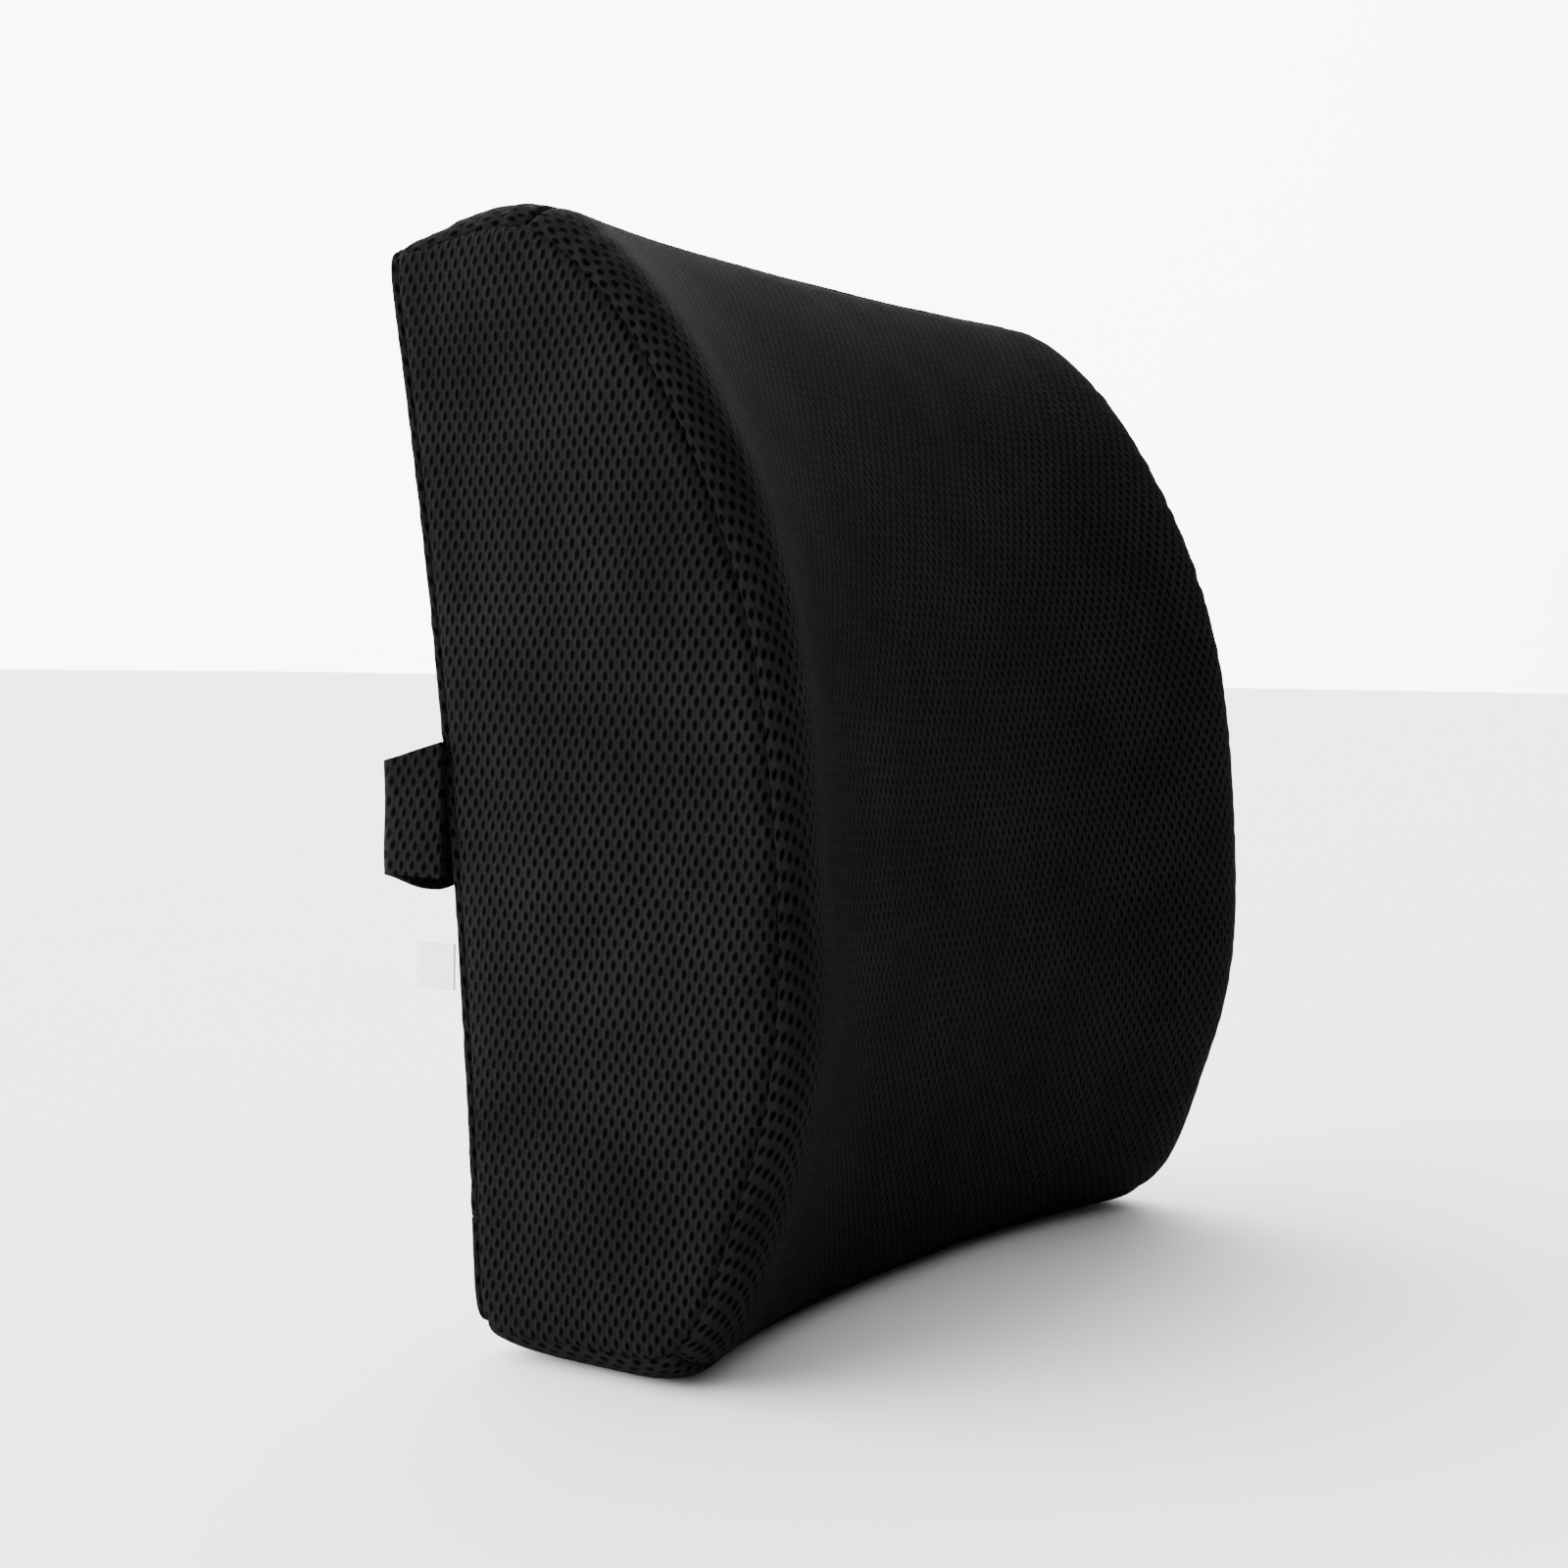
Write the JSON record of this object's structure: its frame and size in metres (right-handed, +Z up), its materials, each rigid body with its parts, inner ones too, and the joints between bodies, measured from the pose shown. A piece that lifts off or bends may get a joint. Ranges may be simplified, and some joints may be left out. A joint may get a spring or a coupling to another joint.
{
  "type": "lumbar support cushion",
  "caption": "Contoured foam lumbar cushion with a hollowed front and side wings, in a zip-off mesh cover, with a buckled rear strap for a chair back",
  "frame": {"origin": "centre of the bottom of the whole box; the cushion stands on its flat bottom at z = 0", "axes": "+X across the cushion to the right as seen from behind the user, -Y the hollowed front that meets the user's back, +Y the back with strap and zipper, +Z up"},
  "size_m": [0.312, 0.1508, 0.3356],
  "materials": {
    "spacer_mesh": "black 3D spacer mesh with staggered oval holes",
    "memory_foam": "open-cell moulded memory foam, off-white",
    "liner_cloth": "thin white knitted liner",
    "webbing_cloth": "black woven webbing and zipper tape",
    "buckle_plastic": "black moulded acetal with a fine texture",
    "zipper_plastic": "black nylon coil",
    "zipper_metal": "black lacquered zinc",
    "label_cloth": "white woven satin label, blank"
  },
  "bodies": {
    "cushion": {"foam_core": "memory_foam", "inner_liner": "liner_cloth", "front_panel": "spacer_mesh", "top_panel": "spacer_mesh", "bottom_panel": "spacer_mesh", "back_panel_upper": "spacer_mesh", "back_panel_lower": "spacer_mesh", "left_side_panel": "spacer_mesh", "right_side_panel": "spacer_mesh", "strap_tab_left": "spacer_mesh", "strap_tab_right": "spacer_mesh", "side_label": "label_cloth", "zipper_tape_upper": "webbing_cloth", "zipper_tape_lower": "webbing_cloth", "zipper_coil_upper": "zipper_plastic", "zipper_coil_lower": "zipper_plastic", "zipper_top_stop": "zipper_metal", "zipper_bottom_stop": "zipper_metal", "webbing_left": "webbing_cloth", "webbing_right": "webbing_cloth", "buckle_female": "buckle_plastic"},
    "buckle_plug": {"buckle_male": "buckle_plastic"},
    "latch_upper": {"latch_arm_upper": "buckle_plastic"},
    "latch_lower": {"latch_arm_lower": "buckle_plastic"},
    "strap_adjuster": {"tri_glide": "buckle_plastic"},
    "zip_slider": {"zipper_slider": "zipper_metal"},
    "zip_pull": {"zipper_pull_tab": "zipper_metal"}
  },
  "joints": [
    {"name": "buckle_release", "type": "slide", "parent": "cushion", "child": "buckle_plug", "axis": [1, 0, 0], "range_m": [0, 0.03], "deforming": ["webbing_right", "latch_arm_upper", "latch_arm_lower"]},
    {"name": "latch_squeeze_upper", "type": "hinge", "parent": "buckle_plug", "child": "latch_upper", "pos_m": [0.0125, 0.06856, 0.1675], "axis": [0, -1, 0], "range_deg": [0, 9], "stiffness_Nm_per_rad": 0.2},
    {"name": "latch_squeeze_lower", "type": "hinge", "parent": "buckle_plug", "child": "latch_lower", "pos_m": [0.0125, 0.06856, 0.1465], "axis": [0, 1, 0], "range_deg": [0, 9], "stiffness_Nm_per_rad": 0.2},
    {"name": "strap_adjust", "type": "slide", "parent": "cushion", "child": "strap_adjuster", "axis": [1, 0, 0], "range_m": [-0.01, 0.01]},
    {"name": "zipper_run", "type": "slide", "parent": "cushion", "child": "zip_slider", "axis": [1, 0, 0], "range_m": [-0.243, 0]},
    {"name": "zipper_pull_flip", "type": "hinge", "parent": "zip_slider", "child": "zip_pull", "pos_m": [0.1215, 0.04353, 0.03989], "axis": [0, -0.0563, -0.9984], "range_deg": [0, 175]}
  ]
}
